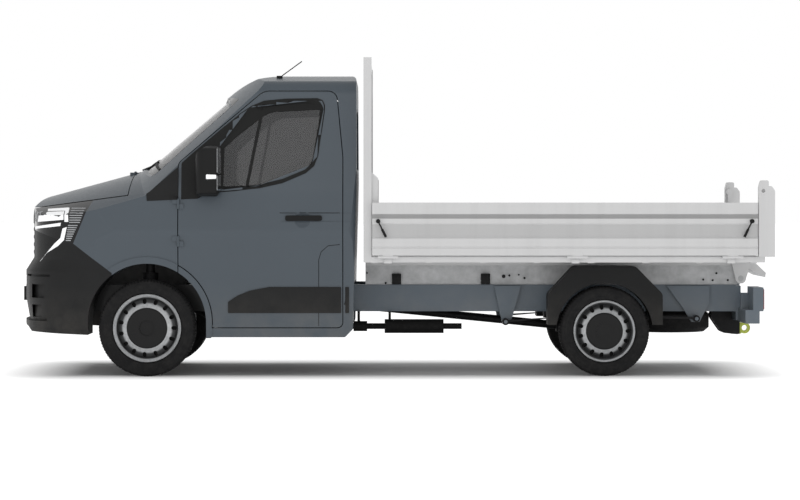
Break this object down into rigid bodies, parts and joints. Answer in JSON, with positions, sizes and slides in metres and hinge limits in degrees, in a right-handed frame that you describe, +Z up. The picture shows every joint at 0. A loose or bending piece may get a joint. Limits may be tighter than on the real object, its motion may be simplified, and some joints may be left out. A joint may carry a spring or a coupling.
{
  "type": "light tipper truck",
  "caption": "Single-cab light tipper truck with a bonneted nose, opening doors and bonnet, steered front wheels and a tipping dropside bed raised by a telescopic lift cylinder",
  "frame": {"origin": "on the ground, below the middle of the overall length and width", "axes": "+X towards the rear, +Y towards the vehicle's right side, +Z up"},
  "size_m": [5.925, 2.47, 2.472],
  "materials": {
    "body_paint": "satin grey-blue paint",
    "bumper_plastic": "grained dark grey plastic",
    "lamp_lens": "clear lamp cover",
    "window_glass": "tinted glass",
    "tyre_rubber": "black rubber",
    "rim_paint": "silver paint",
    "bed_paint": "light grey paint",
    "subframe_paint": "grey primer",
    "chassis_paint": "satin paint",
    "black_steel": "black paint",
    "guard_plastic": "black plastic",
    "cabin_plastic": "grained plastic",
    "seat_fabric": "woven cloth",
    "exhaust_steel": "heat stained steel",
    "engine_iron": "cast",
    "tow_paint": "yellow-green paint",
    "hoist_steel": "polished rod"
  },
  "bodies": {
    "chassis": {"cab_shell": "body_paint", "cab_glass": "window_glass", "front_wings": "body_paint", "front_bumper": "bumper_plastic", "grille_panel": "bumper_plastic", "headlamps": "lamp_lens", "dashboard": "cabin_plastic", "seats": "seat_fabric", "engine_block": "engine_iron", "chassis_frame": "chassis_paint", "tipper_subframe": "subframe_paint", "front_suspension": "black_steel", "rear_axle": "black_steel", "leaf_springs": "black_steel", "prop_shaft": "black_steel", "exhaust": "exhaust_steel", "fuel_tank": "guard_plastic", "mudguards": "guard_plastic", "rear_lamps": "black_steel", "tow_bracket": "black_steel", "tow_eye": "tow_paint", "spare_wheel": "tyre_rubber", "antenna": "guard_plastic"},
    "bonnet_lid": {"bonnet": "body_paint"},
    "steering_hand_wheel": {"steering_wheel": "cabin_plastic"},
    "bed": {"bed_floor": "bed_paint", "headboard": "bed_paint", "rear_posts": "bed_paint"},
    "tailgate_panel": {"tailgate": "bed_paint"},
    "hoist_0": {"hoist_barrel": "black_steel"},
    "hoist_1": {"hoist_stage_1": "hoist_steel"},
    "hoist_2": {"hoist_stage_2": "hoist_steel"},
    "hoist_3": {"hoist_stage_3": "hoist_steel"},
    "door_body_left": {"door_left": "body_paint", "door_glass_left": "window_glass", "mirror_left": "guard_plastic", "door_handle_left": "guard_plastic"},
    "dropside_body_left": {"dropside_left": "bed_paint", "side_latches_left": "guard_plastic"},
    "knuckle_body_left": {"knuckle_left": "black_steel"},
    "wheel_front_left": {"tyre_front_left": "tyre_rubber", "rim_front_left": "rim_paint"},
    "wheel_rear_left": {"tyre_rear_left": "tyre_rubber", "rim_rear_left": "rim_paint"},
    "door_body_right": {"door_right": "body_paint", "door_glass_right": "window_glass", "mirror_right": "guard_plastic", "door_handle_right": "guard_plastic"},
    "dropside_body_right": {"dropside_right": "bed_paint", "side_latches_right": "guard_plastic"},
    "knuckle_body_right": {"knuckle_right": "black_steel"},
    "wheel_front_right": {"tyre_front_right": "tyre_rubber", "rim_front_right": "rim_paint"},
    "wheel_rear_right": {"tyre_rear_right": "tyre_rubber", "rim_rear_right": "rim_paint"}
  },
  "joints": [
    {"name": "bed_tip", "type": "hinge", "parent": "chassis", "child": "bed", "pos_m": [2.7455, 0, 0.75], "axis": [0, 1, 0], "range_deg": [0, 45]},
    {"name": "tailgate_swing", "type": "hinge", "parent": "bed", "child": "tailgate_panel", "pos_m": [2.8425, 0, 1.44], "axis": [0, -1, 0], "range_deg": [0, 85]},
    {"name": "dropside_left_fold", "type": "hinge", "parent": "bed", "child": "dropside_body_left", "pos_m": [1.3125, -1.095, 0.928], "axis": [1, 0, 0], "range_deg": [0, 178]},
    {"name": "dropside_right_fold", "type": "hinge", "parent": "bed", "child": "dropside_body_right", "pos_m": [1.3125, 1.095, 0.928], "axis": [-1, 0, 0], "range_deg": [0, 178]},
    {"name": "door_left_open", "type": "hinge", "parent": "chassis", "child": "door_body_left", "pos_m": [-1.6715, -1.029, 1], "axis": [0, 0, -1], "range_deg": [0, 68]},
    {"name": "door_right_open", "type": "hinge", "parent": "chassis", "child": "door_body_right", "pos_m": [-1.6715, 1.029, 1], "axis": [0, 0, 1], "range_deg": [0, 68]},
    {"name": "bonnet_lift", "type": "hinge", "parent": "chassis", "child": "bonnet_lid", "pos_m": [-2.0725, 0, 1.59], "axis": [0, 1, 0], "range_deg": [0, 60]},
    {"name": "steer_left", "type": "hinge", "parent": "chassis", "child": "knuckle_body_left", "pos_m": [-1.9175, -0.8, 0.376], "axis": [0, 0, 1], "range_deg": [-35, 35]},
    {"name": "steer_right", "type": "hinge", "parent": "chassis", "child": "knuckle_body_right", "pos_m": [-1.9175, 0.8, 0.376], "axis": [0, 0, 1], "range_deg": [-35, 35]},
    {"name": "steering_wheel_turn", "type": "hinge", "parent": "chassis", "child": "steering_hand_wheel", "pos_m": [-1.2175, -0.39, 1.45], "axis": [0.722, 0, 0.6919], "range_deg": [-525, 525]},
    {"name": "wheel_front_left_spin", "type": "hinge", "parent": "knuckle_body_left", "child": "wheel_front_left", "pos_m": [-1.9175, -0.8775, 0.376], "axis": [0, 1, 0], "continuous": true},
    {"name": "wheel_front_right_spin", "type": "hinge", "parent": "knuckle_body_right", "child": "wheel_front_right", "pos_m": [-1.9175, 0.8775, 0.376], "axis": [0, 1, 0], "continuous": true},
    {"name": "wheel_rear_left_spin", "type": "hinge", "parent": "chassis", "child": "wheel_rear_left", "pos_m": [1.6325, -0.8225, 0.35], "axis": [0, 1, 0], "continuous": true},
    {"name": "wheel_rear_right_spin", "type": "hinge", "parent": "chassis", "child": "wheel_rear_right", "pos_m": [1.6325, 0.8225, 0.35], "axis": [0, 1, 0], "continuous": true},
    {"name": "hoist_swing", "type": "hinge", "parent": "chassis", "child": "hoist_0", "pos_m": [1.2825, 0, 0.64], "axis": [0, 1, 0], "range_deg": [0, 22.54]},
    {"name": "hoist_slide_1", "type": "slide", "parent": "hoist_0", "child": "hoist_1", "axis": [0, 0, 1], "range_m": [0, 0.36781]},
    {"name": "hoist_slide_2", "type": "slide", "parent": "hoist_1", "child": "hoist_2", "axis": [0, 0, 1], "range_m": [0, 0.36781]},
    {"name": "hoist_slide_3", "type": "slide", "parent": "hoist_2", "child": "hoist_3", "axis": [0, 0, 1], "range_m": [0, 0.36781]}
  ],
  "couplings": [
    {"joint": "steer_right", "follows": "steer_left", "ratio": 1},
    {"joint": "steering_wheel_turn", "follows": "steer_left", "ratio": 15},
    {"joint": "hoist_swing", "follows": "bed_tip", "ratio": 0.50074},
    {"joint": "hoist_slide_1", "follows": "bed_tip", "m_per_rad": 0.46806},
    {"joint": "hoist_slide_2", "follows": "bed_tip", "m_per_rad": 0.46806},
    {"joint": "hoist_slide_3", "follows": "bed_tip", "m_per_rad": 0.46806}
  ]
}
